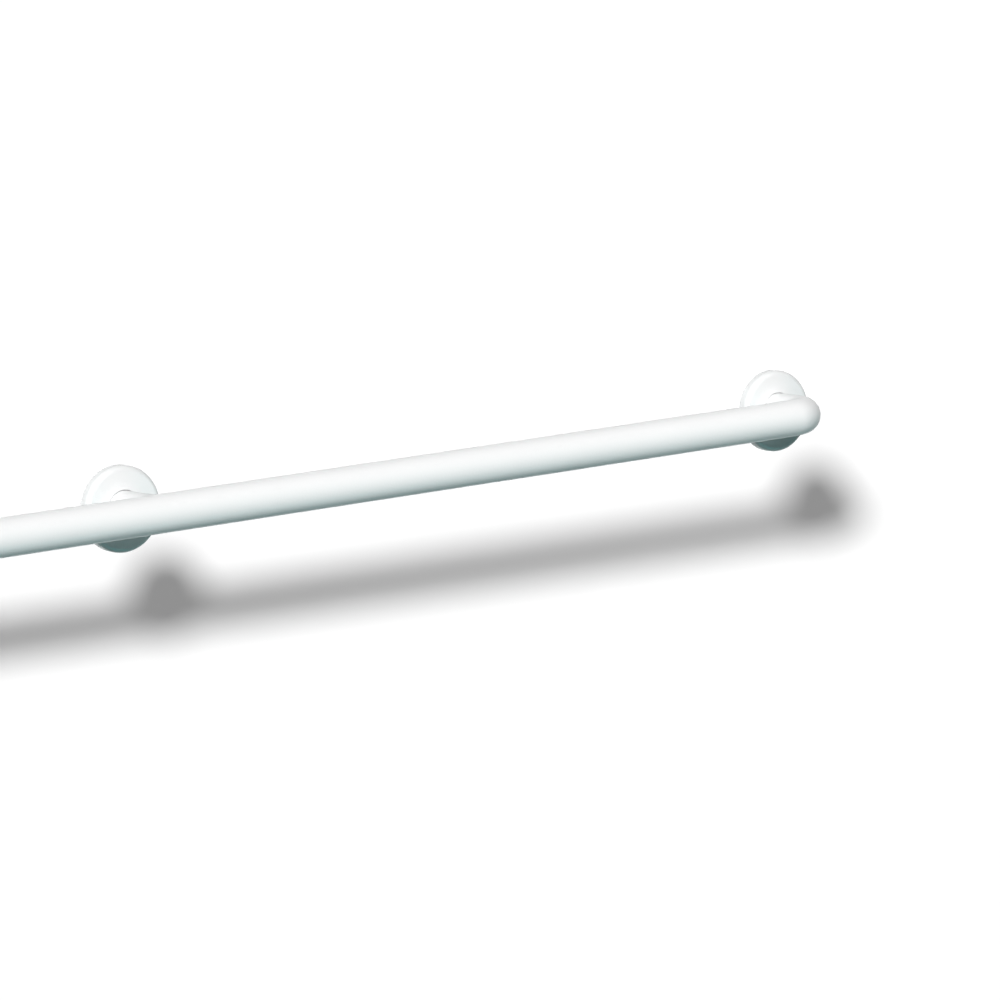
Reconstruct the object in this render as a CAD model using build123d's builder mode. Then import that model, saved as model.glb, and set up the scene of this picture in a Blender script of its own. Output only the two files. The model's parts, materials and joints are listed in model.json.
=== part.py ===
"""A wall grab bar: one bent tube on three supports, each with a wall flange and a push-on cover."""

from build123d import *

import os

os.makedirs("parts", exist_ok=True)

# Driving dimensions in millimetres. X runs along the bar, Y points into the wall and Z is up.
# The origin is on the wall, behind the bar's middle support.
support_spacing = 700.0
bar_standoff = 62.0
tube_radius = 16.5
tube_wall = 1.5
bend_radius = 24.0
post_radius = 16.0
weld_size = 2.0

# Push-on cover: a cap drawn from sheet, with a neck round the tube and pips that grip the flange's rim.
cover_radius = 37.0
cover_depth = 12.0
cover_dome = 0.8
cover_sheet = 1.2
rim_rounding = 5.0
neck_chamfer = 0.7
neck_depth = 3.5
neck_clearance = 0.4
wall_gap = 0.5
pip_count = 3
pip_radius = 3.0
pip_rise = 0.75
pip_height = 2.6
grip_clearance = 0.25

# Wall flange: a round plate that the tube is welded to, with screw holes under the cover.
flange_thickness = 3.2
flange_edge = 0.5
screw_circle_radius = 26.0
screw_hole_radius = 3.25
screw_count = 3
top_angle = 90.0

# Sizes that follow from those above.
skirt_inside = cover_radius - cover_sheet
rim_depth = cover_depth - cover_dome
inner_chamfer = 0.7 * (rim_rounding - cover_sheet)
flange_radius = skirt_inside - pip_rise - grip_clearance
pip_circle_radius = skirt_inside - pip_rise + pip_radius
saddle_length = 4 * tube_radius

# Each support by name, with its place along the bar and the radius of the tube that stands on it.
supports = {
    "left": (-support_spacing, tube_radius),
    "centre": (0.0, post_radius),
    "right": (support_spacing, tube_radius),
}


def facing_room(x, distance):
    """The plane parallel to the wall that faces the room, at this place along the bar and this far out."""
    return Plane(origin=(x, -distance, 0), x_dir=(1, 0, 0), z_dir=(0, -1, 0))


def support_axis(x):
    """The line through the middle of a support, square to the wall."""
    return Axis((x, 0, 0), (0, 1, 0))


# The bar: one tube that leaves the left flange, turns along the wall and turns back to the right flange.
with BuildPart() as bar_tube:
    with BuildLine() as bar_path:
        FilletPolyline(
            (-support_spacing, -flange_thickness),
            (-support_spacing, -bar_standoff),
            (support_spacing, -bar_standoff),
            (support_spacing, -flange_thickness),
            radius=bend_radius,
        )
    with BuildSketch(facing_room(-support_spacing, flange_thickness)):
        Circle(tube_radius)
        Circle(tube_radius - tube_wall, mode=Mode.SUBTRACT)
    sweep(path=bar_path.wire())
bar_tube.part.label = "bar_tube"
export_step(bar_tube.part, "parts/bar_tube.step")

# The stretch of bar that the middle post is fitted to.
with BuildPart() as saddle:
    with BuildSketch(Plane.YZ.offset(-saddle_length / 2)):
        with Locations((-bar_standoff, 0)):
            Circle(tube_radius)
    extrude(amount=saddle_length)

# The middle post: a short tube coped to the back of the bar, with a weld fillet round the joint.
with BuildPart() as centre_post:
    with BuildSketch(facing_room(0, flange_thickness)):
        Circle(post_radius)
    extrude(amount=bar_standoff - flange_thickness)
    add(saddle.part)
    fillet(centre_post.edges(Select.NEW), radius=weld_size)
    add(saddle.part, mode=Mode.SUBTRACT)
    with BuildSketch(facing_room(0, flange_thickness)):
        Circle(post_radius - tube_wall)
    extrude(amount=bar_standoff, mode=Mode.SUBTRACT)
centre_post.part.label = "centre_post"
export_step(centre_post.part, "parts/centre_post.step")

for name, (x, leg_radius) in supports.items():
    # A wall flange: a flat plate with a weld fillet that rings the tube's end.
    with BuildPart() as flange:
        with BuildSketch(Plane((x, 0, 0))):
            with BuildLine():
                Polyline(
                    (0, 0),
                    (flange_radius, 0),
                    (flange_radius, flange_edge - flange_thickness),
                    (flange_radius - flange_edge, -flange_thickness),
                    (leg_radius + weld_size, -flange_thickness),
                    (leg_radius, -flange_thickness - weld_size),
                    (leg_radius, -flange_thickness),
                    (0, -flange_thickness),
                    close=True,
                )
            make_face()
        revolve(axis=support_axis(x))
        with BuildSketch(facing_room(x, 0)):
            with PolarLocations(screw_circle_radius, screw_count, start_angle=top_angle):
                Circle(screw_hole_radius)
        extrude(amount=flange_thickness, mode=Mode.SUBTRACT)
    flange.part.label = f"flange_{name}"
    export_step(flange.part, f"parts/flange_{name}.step")

    # The hollow under the cover, which the pips stand into from the side.
    bore = leg_radius + neck_clearance
    with BuildPart() as hollow:
        with BuildSketch(Plane((x, 0, 0))) as hollow_section:
            with BuildLine():
                Polyline(
                    (0, 0),
                    (skirt_inside, 0),
                    (skirt_inside, cover_sheet - rim_depth),
                    (bore + cover_sheet, cover_sheet - cover_depth),
                    (bore + cover_sheet, neck_depth - cover_depth),
                    (0, neck_depth - cover_depth),
                    close=True,
                )
            make_face()
            inner_rim = hollow_section.vertices().group_by(Axis.X)[-1].sort_by(Axis.Y)[0]
            chamfer(inner_rim, length=inner_chamfer)
        revolve(axis=support_axis(x))
        with Locations(facing_room(x, pip_height)):
            with PolarLocations(pip_circle_radius, pip_count, start_angle=-top_angle):
                Sphere(pip_radius, mode=Mode.SUBTRACT)

    # A push-on cover: a shallow cap with a rounded rim that slides along its tube.
    with BuildPart() as cover:
        with BuildSketch(Plane((x, 0, 0))) as cover_section:
            with BuildLine():
                Polyline(
                    (bore, -wall_gap),
                    (cover_radius, -wall_gap),
                    (cover_radius, -rim_depth),
                    (bore, -cover_depth),
                    close=True,
                )
            make_face()
            outer_rim = cover_section.vertices().group_by(Axis.X)[-1].sort_by(Axis.Y)[0]
            fillet(outer_rim, radius=rim_rounding)
            neck_mouth = cover_section.vertices().group_by(Axis.X)[0].sort_by(Axis.Y)[0]
            chamfer(neck_mouth, length=neck_chamfer)
        revolve(axis=support_axis(x))
        add(hollow.part, mode=Mode.SUBTRACT)
    cover.part.label = f"cover_{name}"
    export_step(cover.part, f"parts/cover_{name}.step")
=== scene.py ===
"""Looks of a wall grab bar: a white coated tube on three supports, before a white backdrop."""

import json
from math import atan, cos, degrees, hypot, pi, radians, sin, sqrt, tau

import bmesh
import bpy
from mathutils import Matrix, Vector


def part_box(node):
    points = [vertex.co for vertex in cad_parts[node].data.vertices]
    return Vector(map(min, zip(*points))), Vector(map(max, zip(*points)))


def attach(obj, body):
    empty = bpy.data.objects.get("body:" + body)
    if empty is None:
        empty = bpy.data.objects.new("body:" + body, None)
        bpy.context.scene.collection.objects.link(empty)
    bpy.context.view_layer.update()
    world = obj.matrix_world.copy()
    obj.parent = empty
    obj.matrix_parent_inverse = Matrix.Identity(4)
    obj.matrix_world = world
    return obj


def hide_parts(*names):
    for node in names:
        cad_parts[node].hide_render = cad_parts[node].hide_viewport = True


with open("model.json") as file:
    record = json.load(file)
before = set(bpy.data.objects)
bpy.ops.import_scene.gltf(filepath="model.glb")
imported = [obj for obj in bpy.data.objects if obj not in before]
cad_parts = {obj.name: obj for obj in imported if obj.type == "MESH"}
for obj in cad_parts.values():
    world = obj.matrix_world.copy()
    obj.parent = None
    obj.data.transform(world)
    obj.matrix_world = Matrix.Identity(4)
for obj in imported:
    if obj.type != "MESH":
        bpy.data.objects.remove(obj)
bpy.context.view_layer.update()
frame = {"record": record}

# Places and sizes read from the frame, in metres. X runs along the bar, Y into the wall and Z up.
MM = 0.001
screw_mounts = [m for m in frame["record"]["mounts"] if m["kind"] == "bolt_pattern"]
support_x = {m["name"].removesuffix("_screws"): m["pos_m"][0] for m in screw_mounts}
screw_circle_radius = screw_mounts[0]["dims"]["pcd_mm"] / 2 * MM
screw_hole_radius = screw_mounts[0]["dims"]["hole_r_mm"] * MM
screw_count = screw_mounts[0]["dims"]["count"]
tube_low, tube_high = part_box("bar_tube")
half_span = support_x["right"]
tube_radius = tube_high.x - half_span
bar_y = tube_low.y + tube_radius
plate_y = tube_high.y
plate_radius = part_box("flange_centre")[1].x
cover_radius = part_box("cover_centre")[1].x
wall_gap = -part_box("cover_centre")[1].y

# The tube, its middle post and the welds.
tube_wall = 1.5 * MM
bend_radius = 24.0 * MM
post_radius = 16.0 * MM
weld_size = 2.0 * MM
weld_ripple = 0.16 * MM
weld_pitch = 2.2 * MM
weld_bite = 0.3 * MM
plate_edge = 0.4 * MM

# The covers, drawn from sheet: a skirt, a rounded rim, a slightly coned face and a neck round the tube.
cover_depth = 12.0 * MM
cover_dome = 0.8 * MM
cover_sheet = 1.2 * MM
rim_rounding = 5.0 * MM
neck_rounding = 0.9 * MM
neck_depth = 3.5 * MM
neck_clearance = 0.4 * MM
hem_rounding = 0.3 * MM
pip_count = 3
pip_radius = 3.0 * MM
pip_rise = 0.75 * MM
pip_height = 2.6 * MM

# How finely the round forms are divided. The rings on a cover's face are shares of its width.
tube_sides = 96
bend_steps = 28
leg_steps = 4
straight_steps = 24
cover_sides = 256
arc_steps = 6
rim_steps = 16
inner_rim_steps = 12
face_rings = (0.03, 0.5, 0.97)
pip_rows = 16
weld_sides = 384
weld_steps = 8
post_steps = 6
hole_sides = 48
plate_edge_steps = 3
crease_angle = radians(35)
merge_distance = 0.003 * MM

# What the coats share: their shine, and the patches of their slow drifts and of their fine orange peel.
paint_shine = 0.4
clear_coat = 0.1
clear_coat_roughness = 0.15
drift_size = 60 * MM
drift_detail = 3
gloss_size = 22 * MM
gloss_detail = 4
flow_width_in_peels = 6
flow_height_in_peels = 3
flow_strength = 0.35
peel_strength = 0.8

# The camera, fitted to the outlines in the photograph, whose side is 1000 pixels.
camera_place = Vector((-2.3751, -3.9236, 0.6276))
camera_yaw = radians(35.201)
camera_pitch = radians(7.954)
camera_roll = radians(-3.307)
focal_pixels = 5499
photo_pixels = 1000
sensor_width = 36.0

# The backdrop. Its paper gets paler to the right, where the lamp's light falls on it at more of a slant.
backdrop_y = 1.0
backdrop_turn = 0.1766
backdrop_left = -2.0
backdrop_right = 3.2
backdrop_low = -1.1
backdrop_high = 1.2
backdrop_lift = 0.27
paler_from = 0.0
paler_to = 2.5
paper_least = 0.677
paper_most = 0.93
backdrop_bounce = (0.4, 0.46, 0.46, 1.0)
white = (1.0, 1.0, 1.0, 1.0)

# The three lamps on the object, and the lamp near the camera that lays its shadow on the backdrop.
key_heading = Vector((0.84, 1.0, -0.66))
key_spread = radians(7.6)
key_power = 4.22
fill_heading = Vector((-0.3, 0.55, 1.0))
fill_spread = radians(40)
fill_power = 0.34
fill_colour = (0.18, 1.0, 1.0)
back_heading = Vector((-0.7, -1.0, 0.16))
back_spread = radians(10)
back_power = 1.3
neutral = (1.0, 1.0, 1.0)
shadow_lamp_place = Vector((-2.548, -3.924, 0.986))
shadow_lamp_radius = 0.097
shadow_lamp_power = 56.0
ambient = (0.015, 0.015, 0.015, 1.0)


def skin(name, loops):
    """One closed mesh over a ring of closed loops, which all have the same number of points."""
    size = len(loops[0])
    points = [point for loop in loops for point in loop]
    faces = []
    for row in range(len(loops)):
        here = row * size
        there = (row + 1) % len(loops) * size
        for column in range(size):
            beside = (column + 1) % size
            faces.append((here + column, here + beside, there + beside, there + column))
    mesh = bpy.data.meshes.new(name)
    mesh.from_pydata(points, [], faces)
    return finished(name, mesh)


def finished(name, mesh):
    """The object of a closed mesh, with its faces turned outward and its round faces shaded smooth."""
    work = bmesh.new()
    work.from_mesh(mesh)
    bmesh.ops.remove_doubles(work, verts=work.verts, dist=merge_distance)
    bmesh.ops.recalc_face_normals(work, faces=work.faces)
    work.to_mesh(mesh)
    work.free()
    mesh.shade_smooth()
    mesh.set_sharp_from_angle(angle=crease_angle)
    piece = bpy.data.objects.new(name, mesh)
    bpy.context.scene.collection.objects.link(piece)
    return piece


def steps(start, end, count):
    """Evenly spaced values from start to end, both included."""
    return [start + (end - start) * i / count for i in range(count + 1)]


def turn(count):
    """Evenly spaced angles once round."""
    return [tau * i / count for i in range(count)]


def arc(centre_r, centre_d, radius, start, end, count=arc_steps):
    """Points of an arc in a profile, from one angle to another in degrees."""
    angles = [radians(a) for a in steps(start, end, count)]
    return [(centre_r + radius * cos(a), centre_d + radius * sin(a)) for a in angles]


def round_support(x, angle, radius, distance):
    """The point at this angle and radius round a support's axis, this far out from the wall."""
    return (x + radius * cos(angle), -distance, radius * sin(angle))


def wearing(piece, material, node, body):
    """Gives a piece its material and slot, sets it in place of its solid and lets it move with its body."""
    piece.data.materials.append(material)
    if node:
        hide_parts(node)
    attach(piece, body)
    return piece


def bend_stations(centre_x, centre_y, start):
    """The stations of a quarter bend that follow its first one, from this angle round its centre."""
    stations = []
    for angle in steps(start, start + pi / 2, bend_steps)[1:]:
        out_x = cos(angle)
        out_y = sin(angle)
        place = (centre_x + bend_radius * out_x, centre_y + bend_radius * out_y)
        stations.append((place, (out_x, out_y)))
    return stations


def tube_path():
    """Points along the bar's axis, each with the direction that points out of its bends."""
    corner_x = half_span - bend_radius
    corner_y = bar_y + bend_radius
    stations = [((-half_span, y), (-1.0, 0.0)) for y in steps(plate_y, corner_y, leg_steps)]
    stations += bend_stations(-corner_x, corner_y, pi)
    stations += [((x, bar_y), (0.0, -1.0)) for x in steps(-corner_x, corner_x, straight_steps)[1:]]
    stations += bend_stations(corner_x, corner_y, 1.5 * pi)
    stations += [((half_span, y), (1.0, 0.0)) for y in steps(corner_y, plate_y, leg_steps)[1:]]
    return stations


def bent_tube():
    """The hollow bar with its two bends: out along its outer wall and back along its bore."""
    path = tube_path()
    loops = []
    for angle in turn(tube_sides):
        loop = []
        for radius, stations in ((tube_radius, path), (tube_radius - tube_wall, path[::-1])):
            for (x, y), (out_x, out_y) in stations:
                reach = radius * cos(angle)
                loop.append((x + out_x * reach, y + out_y * reach, radius * sin(angle)))
        loops.append(loop)
    return skin("coated_tube", loops)


def ripple(along):
    """The height of a weld's overlapping ripples, from 0 in the creases to 1 on the crests."""
    return abs(sin(pi * along / weld_pitch))


def on_bar(x, z, depth):
    """The point at this x and z that is this deep under the surface of the bar's back."""
    return (x, bar_y + sqrt((tube_radius - depth) ** 2 - z * z), z)


def coped_post():
    """The middle post, cut to sit on the back of the bar, with a weld like the path of a rolled ball."""
    ball_r = post_radius + weld_size
    ball_bar = tube_radius + weld_size
    bore = post_radius - tube_wall
    loops = []
    along = 0.0
    last = None
    for angle in turn(weld_sides):
        across = cos(angle)
        up = sin(angle)
        ball_y = bar_y + sqrt(ball_bar ** 2 - (ball_r * up) ** 2)
        centre = Vector((ball_r * across, ball_y, ball_r * up))
        if last is not None:
            along += (centre - last).length
        last = centre
        to_post = Vector((-across, 0, -up))
        to_bar = Vector((0, bar_y - centre.y, -centre.z)).normalized()
        loop = [(post_radius * across, y, post_radius * up) for y in steps(plate_y, centre.y, post_steps)]
        for share in steps(0, 1, weld_steps)[1:]:
            lift = 1 - weld_ripple / weld_size * ripple(along) * sin(pi * share)
            loop.append(tuple(centre + to_post.slerp(to_bar, share) * weld_size * lift))
        toe = centre + to_bar * weld_size
        loop.append(on_bar(toe.x, toe.z * (1 - weld_bite / tube_radius), weld_bite))
        loop.append(on_bar(bore * across, bore * up, weld_bite))
        loop.append((bore * across, plate_y, bore * up))
        loops.append(loop)
    return skin("coated_post", loops)


def flange_weld(name, x, leg_radius):
    """The rippled weld that rings the end of a tube on its flange."""
    plate_top = -plate_y
    inside = leg_radius - weld_bite
    loops = []
    for angle in turn(weld_sides):
        swell = weld_ripple * ripple(angle * (leg_radius + weld_size / 2))
        profile = [(inside, plate_top - weld_bite), (leg_radius + weld_size, plate_top - weld_bite)]
        for share in steps(0, 1, weld_steps):
            bulge = (swell + weld_ripple) * sin(pi * share)
            radius = leg_radius + weld_size * (1 - share) + bulge
            profile.append((radius, plate_top + weld_size * share + bulge))
        profile.append((inside, plate_top + weld_size))
        loops.append([round_support(x, angle, r, d) for r, d in profile])
    return skin(f"flange_weld_{name}", loops)


def flange_plate(name, x):
    """A round wall plate with its ring of screw holes, its edges slightly rounded."""
    outline = bpy.data.curves.new(f"flange_outline_{name}", "CURVE")
    outline.dimensions = "2D"
    outline.fill_mode = "BOTH"
    outline.extrude = -plate_y / 2 - plate_edge
    outline.bevel_depth = plate_edge
    outline.bevel_resolution = plate_edge_steps
    outline.offset = -plate_edge
    circles = [(0.0, 0.0, plate_radius, cover_sides)]
    for angle in turn(screw_count):
        across = screw_circle_radius * sin(angle)
        up = screw_circle_radius * cos(angle)
        circles.append((across, up, screw_hole_radius, hole_sides))
    for across, up, radius, sides in circles:
        ring = outline.splines.new("POLY")
        ring.points.add(sides - 1)
        ring.use_cyclic_u = True
        for point, angle in zip(ring.points, turn(sides)):
            point.co = (across + radius * cos(angle), up + radius * sin(angle), 0.0, 1.0)
    drawn = bpy.data.objects.new(outline.name, outline)
    bpy.context.scene.collection.objects.link(drawn)
    bpy.context.view_layer.update()
    mesh = bpy.data.meshes.new_from_object(drawn.evaluated_get(bpy.context.evaluated_depsgraph_get()))
    bpy.data.objects.remove(drawn)
    mesh.transform(Matrix.Translation((x, plate_y / 2, 0)) @ Matrix.Rotation(pi / 2, 4, "X"))
    mesh.materials.clear()
    return finished(f"flange_plate_{name}", mesh)


def cover_profile(bore):
    """The section of a cover as radius and distance from the wall, round its outside and back inside."""
    fall = cover_dome / (cover_radius - bore)
    slope = atan(fall)
    tilt = 90 - degrees(slope)
    skirt_inside = cover_radius - cover_sheet
    rim_r = cover_radius - rim_rounding
    rim_d = cover_depth - cover_dome + (rim_rounding * sin(slope) - rim_rounding) / cos(slope)
    face_d = rim_d + rim_rounding / cos(slope) + rim_r * fall
    mouth_r = bore + neck_rounding
    mouth_d = face_d - mouth_r * fall - neck_rounding / cos(slope)
    neck_outside = bore + cover_sheet
    neck_end = cover_depth - neck_depth
    hem_d = wall_gap + hem_rounding
    root_r = neck_outside + neck_rounding
    root_d = face_d - cover_sheet - root_r * fall - neck_rounding / cos(slope)
    outside = arc(cover_radius - hem_rounding, hem_d, hem_rounding, -90, 0)
    outside += [(cover_radius, hem_d + hem_rounding), (cover_radius, rim_d - hem_rounding)]
    outside += arc(rim_r, rim_d, rim_rounding, 0, tilt, rim_steps)
    for share in face_rings:
        r = rim_r + (mouth_r - rim_r) * share
        outside.append((r, face_d - r * fall))
    outside += arc(mouth_r, mouth_d, neck_rounding, tilt, 180)
    outside += arc(bore + hem_rounding, neck_end + hem_rounding, hem_rounding, 180, 270)
    outside += arc(neck_outside - hem_rounding, neck_end + hem_rounding, hem_rounding, 270, 360)
    inside = arc(root_r, root_d, neck_rounding, 180, tilt)
    inside += arc(rim_r, rim_d, rim_rounding - cover_sheet, tilt, 0, inner_rim_steps)
    skirt = [(skirt_inside, d) for d in steps(2 * pip_height - hem_d, hem_d, pip_rows)]
    skirt += arc(skirt_inside + hem_rounding, hem_d, hem_rounding, 180, 270)[1:]
    return outside + inside, skirt


def pip_reach(angle, r, d):
    """The radius of the skirt's inside at this angle and height, less where a pip stands in from it."""
    skirt_inside = cover_radius - cover_sheet
    pip_circle = skirt_inside - pip_rise + pip_radius
    for pip in range(pip_count):
        away = (angle + pi / 2 - tau * pip / pip_count + pi) % tau - pi
        apart = hypot(away * skirt_inside, d - pip_height)
        if apart < pip_radius:
            r = min(r, pip_circle - sqrt(pip_radius ** 2 - apart ** 2))
    return r


def drawn_cover(name, x, leg_radius):
    """A push-on cover with its rounded rim, its neck and the pips inside its skirt."""
    shell, skirt = cover_profile(leg_radius + neck_clearance)
    loops = []
    for angle in turn(cover_sides):
        loop = [round_support(x, angle, r, d) for r, d in shell]
        loop += [round_support(x, angle, pip_reach(angle, r, d), d) for r, d in skirt]
        loops.append(loop)
    return skin(f"cover_shell_{name}", loops)


def coating(name, pale, deep, smooth, rough, peel_size, peel_height):
    """White paint on metal: a slow drift of colour and gloss, and the orange peel of a sprayed coat."""
    material = bpy.data.materials.new(name)
    material.use_nodes = True
    nodes = material.node_tree.nodes
    links = material.node_tree.links
    paint = nodes["Principled BSDF"]
    paint.inputs["Specular IOR Level"].default_value = paint_shine
    paint.inputs["Coat Weight"].default_value = clear_coat
    paint.inputs["Coat Roughness"].default_value = clear_coat_roughness
    place = nodes.new("ShaderNodeTexCoord")

    def noise(size, detail):
        """A noise whose patches are about this many metres across."""
        texture = nodes.new("ShaderNodeTexNoise")
        texture.inputs["Scale"].default_value = 1 / size
        texture.inputs["Detail"].default_value = detail
        links.new(place.outputs["Object"], texture.inputs["Vector"])
        return texture.outputs["Fac"]

    tint = nodes.new("ShaderNodeMix")
    tint.data_type = "RGBA"
    tint.inputs["A"].default_value = (*deep, 1)
    tint.inputs["B"].default_value = (*pale, 1)
    links.new(noise(drift_size, drift_detail), tint.inputs["Factor"])
    links.new(tint.outputs["Result"], paint.inputs["Base Color"])
    gloss = nodes.new("ShaderNodeMapRange")
    gloss.inputs["To Min"].default_value = smooth
    gloss.inputs["To Max"].default_value = rough
    links.new(noise(gloss_size, gloss_detail), gloss.inputs["Value"])
    links.new(gloss.outputs["Result"], paint.inputs["Roughness"])
    flow = nodes.new("ShaderNodeBump")
    flow.inputs["Distance"].default_value = flow_height_in_peels * peel_height
    flow.inputs["Strength"].default_value = flow_strength
    links.new(noise(flow_width_in_peels * peel_size, 0), flow.inputs["Height"])
    peel = nodes.new("ShaderNodeBump")
    peel.inputs["Distance"].default_value = peel_height
    peel.inputs["Strength"].default_value = peel_strength
    links.new(noise(peel_size, 0), peel.inputs["Height"])
    links.new(flow.outputs["Normal"], peel.inputs["Normal"])
    links.new(peel.outputs["Normal"], paint.inputs["Normal"])
    return material


def seen_directly(nodes, links):
    """A value that is 1 for what the camera sees, straight or mirrored, and 0 for light on the object."""
    rays = nodes.new("ShaderNodeLightPath")
    value = rays.outputs["Is Camera Ray"]
    for other in ("Is Glossy Ray", "Is Transmission Ray"):
        either = nodes.new("ShaderNodeMath")
        either.operation = "MAXIMUM"
        links.new(value, either.inputs[0])
        links.new(rays.outputs[other], either.inputs[1])
        value = either.outputs["Value"]
    return value


def backdrop_paper():
    """White paper that keeps the bar's shadow, and is clear when seen from behind."""
    material = bpy.data.materials.new("backdrop_paper")
    material.use_nodes = True
    nodes = material.node_tree.nodes
    links = material.node_tree.links
    paper = nodes["Principled BSDF"]
    paper.inputs["Roughness"].default_value = 1.0
    paper.inputs["Specular IOR Level"].default_value = 0.0
    paper.inputs["Emission Color"].default_value = white
    seen = seen_directly(nodes, links)
    tint = nodes.new("ShaderNodeMix")
    tint.data_type = "RGBA"
    tint.inputs["A"].default_value = backdrop_bounce
    place = nodes.new("ShaderNodeTexCoord")
    parts = nodes.new("ShaderNodeSeparateXYZ")
    paleness = nodes.new("ShaderNodeMapRange")
    paleness.inputs["From Min"].default_value = paler_from
    paleness.inputs["From Max"].default_value = paler_to
    paleness.inputs["To Min"].default_value = paper_least
    paleness.inputs["To Max"].default_value = paper_most
    links.new(place.outputs["Object"], parts.inputs["Vector"])
    links.new(parts.outputs["X"], paleness.inputs["Value"])
    links.new(paleness.outputs["Result"], tint.inputs["B"])
    links.new(seen, tint.inputs["Factor"])
    links.new(tint.outputs["Result"], paper.inputs["Base Color"])
    lift = nodes.new("ShaderNodeMath")
    lift.operation = "MULTIPLY"
    lift.inputs[1].default_value = backdrop_lift
    links.new(seen, lift.inputs[0])
    links.new(lift.outputs["Value"], paper.inputs["Emission Strength"])
    clear = nodes.new("ShaderNodeBsdfTransparent")
    side = nodes.new("ShaderNodeNewGeometry")
    choice = nodes.new("ShaderNodeMixShader")
    links.new(side.outputs["Backfacing"], choice.inputs["Fac"])
    links.new(paper.outputs["BSDF"], choice.inputs[1])
    links.new(clear.outputs["BSDF"], choice.inputs[2])
    links.new(choice.outputs["Shader"], nodes["Material Output"].inputs["Surface"])
    return material


def add_backdrop():
    """A flat sheet of paper behind the bar, turned a little from the wall and facing the room."""
    left = (backdrop_left, backdrop_y + backdrop_left * backdrop_turn)
    right = (backdrop_right, backdrop_y + backdrop_right * backdrop_turn)
    mesh = bpy.data.meshes.new("backdrop")
    corners = [(*left, backdrop_low), (*right, backdrop_low)]
    corners += [(*right, backdrop_high), (*left, backdrop_high)]
    mesh.from_pydata(corners, [], [(0, 1, 2, 3)])
    mesh.materials.append(backdrop_paper())
    sheet = bpy.data.objects.new("backdrop", mesh)
    bpy.context.scene.collection.objects.link(sheet)
    return sheet


def add_world():
    """A weak even light on the object, and plain white where the camera sees past the backdrop."""
    world = bpy.data.worlds.new("studio")
    world.use_nodes = True
    nodes = world.node_tree.nodes
    links = world.node_tree.links
    room = nodes["Background"]
    room.inputs["Color"].default_value = ambient
    beyond = nodes.new("ShaderNodeBackground")
    beyond.inputs["Color"].default_value = white
    choice = nodes.new("ShaderNodeMixShader")
    links.new(seen_directly(nodes, links), choice.inputs["Fac"])
    links.new(room.outputs["Background"], choice.inputs[1])
    links.new(beyond.outputs["Background"], choice.inputs[2])
    links.new(choice.outputs["Shader"], nodes["World Output"].inputs["Surface"])
    bpy.context.scene.world = world


def group_of(name, members):
    """A collection of objects that lamps can be tied to."""
    group = bpy.data.collections.new(name)
    for member in members:
        group.objects.link(member)
    return group


def lamp_of(light, lit, shading):
    """Puts a lamp in the scene that lights one group and is shaded by one group."""
    lamp = bpy.data.objects.new(light.name, light)
    lamp.light_linking.receiver_collection = lit
    lamp.light_linking.blocker_collection = shading
    bpy.context.scene.collection.objects.link(lamp)
    return lamp


def add_far_lamp(name, heading, spread, power, colour, group):
    """A soft lamp far off that shines along a heading on a group."""
    light = bpy.data.lights.new(name, "SUN")
    light.energy = power
    light.angle = spread
    light.color = colour
    lamp = lamp_of(light, group, group)
    lamp.rotation_euler = heading.to_track_quat("-Z", "Y").to_euler()
    return lamp


def add_shadow_lamp(lit, shading):
    """A round lamp near the camera, as bright far off as near, that lays one group's shadow on another."""
    light = bpy.data.lights.new("shadow_lamp", "POINT")
    light.energy = shadow_lamp_power
    light.shadow_soft_size = shadow_lamp_radius
    light.use_nodes = True
    nodes = light.node_tree.nodes
    even = nodes.new("ShaderNodeLightFalloff")
    even.inputs["Strength"].default_value = 1.0
    light.node_tree.links.new(even.outputs["Constant"], nodes["Emission"].inputs["Strength"])
    lamp_of(light, lit, shading).location = shadow_lamp_place


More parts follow.
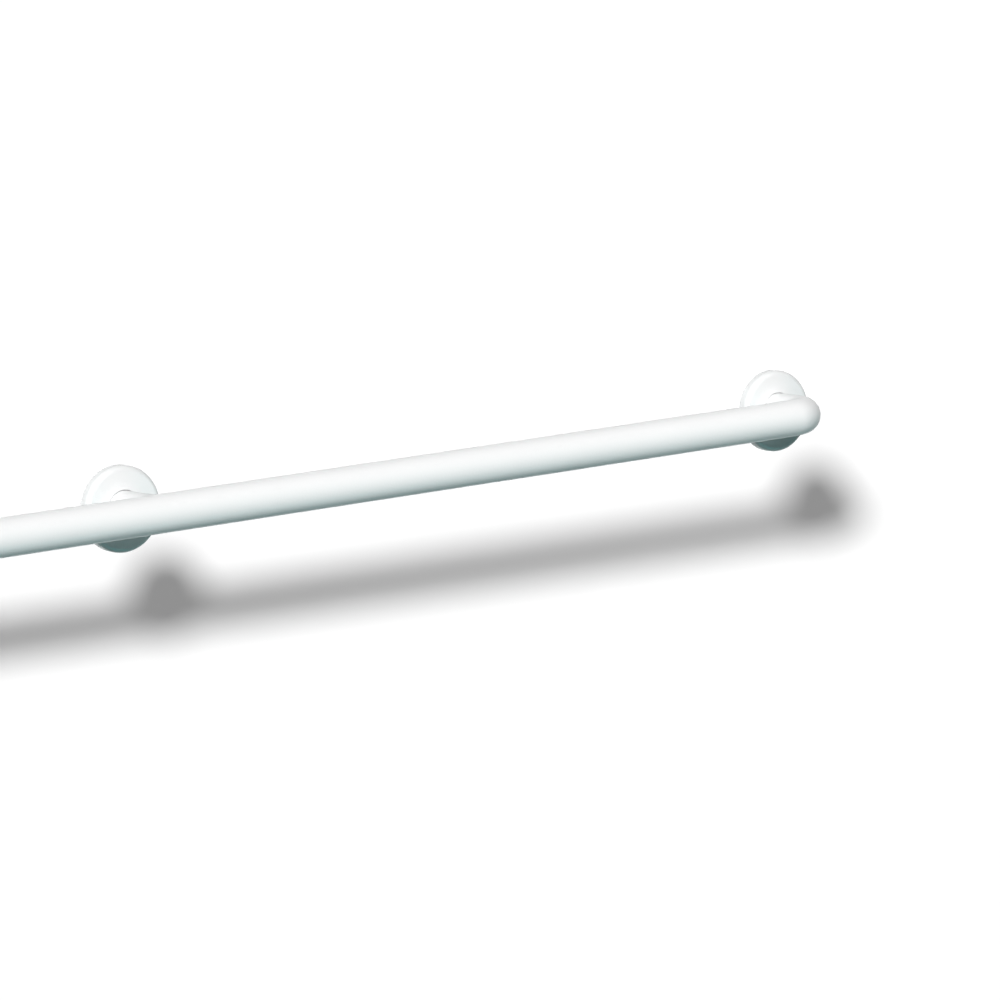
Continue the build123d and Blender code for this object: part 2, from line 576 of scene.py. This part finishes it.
def add_camera():
    """The camera at the photograph's place, with its long lens."""
    camera = bpy.data.cameras.new("camera")
    camera.sensor_width = sensor_width
    camera.lens = sensor_width * focal_pixels / photo_pixels
    camera_object = bpy.data.objects.new("camera", camera)
    aim = Matrix.Rotation(-camera_yaw, 4, "Z") @ Matrix.Rotation(pi / 2 - camera_pitch, 4, "X")
    aim = aim @ Matrix.Rotation(camera_roll, 4, "Z")
    camera_object.matrix_world = Matrix.Translation(camera_place) @ aim
    bpy.context.scene.collection.objects.link(camera_object)
    bpy.context.scene.camera = camera_object


# The coats. A roughness stays on one side of 0.27: across it, the denoiser shows the edges of patches.
tube_coat = coating(
    "tube_coat",
    pale=(0.875, 0.88, 0.88),
    deep=(0.855, 0.86, 0.86),
    smooth=0.285,
    rough=0.35,
    peel_size=1.8 * MM,
    peel_height=0.065 * MM,
)
flange_coat = coating(
    "flange_coat",
    pale=(0.83, 0.845, 0.84),
    deep=(0.79, 0.81, 0.805),
    smooth=0.32,
    rough=0.5,
    peel_size=1.6 * MM,
    peel_height=0.07 * MM,
)
cover_coat = coating(
    "cover_coat",
    pale=(0.80, 0.805, 0.805),
    deep=(0.775, 0.785, 0.785),
    smooth=0.2,
    rough=0.265,
    peel_size=2.0 * MM,
    peel_height=0.06 * MM,
)

# The pieces of the bar, each in its coat.
pieces = [
    wearing(bent_tube(), tube_coat, "bar_tube", "bar"),
    wearing(coped_post(), tube_coat, "centre_post", "bar"),
]
for name, x in support_x.items():
    leg_radius = post_radius if name == "centre" else tube_radius
    plate = flange_plate(name, x)
    weld = flange_weld(name, x, leg_radius)
    cover = drawn_cover(name, x, leg_radius)
    pieces += [
        wearing(plate, flange_coat, f"flange_{name}", "bar"),
        wearing(weld, flange_coat, None, "bar"),
        wearing(cover, cover_coat, f"cover_{name}", f"{name}_cover"),
    ]

# The stage.
bar = group_of("bar", pieces)
add_far_lamp("key", key_heading, key_spread, key_power, neutral, bar)
add_far_lamp("fill", fill_heading, fill_spread, fill_power, fill_colour, bar)
add_far_lamp("back_lamp", back_heading, back_spread, back_power, neutral, bar).visible_glossy = False
add_shadow_lamp(group_of("stage", [add_backdrop()]), bar)
add_world()
add_camera()
bpy.context.scene.view_settings.view_transform = "Standard"
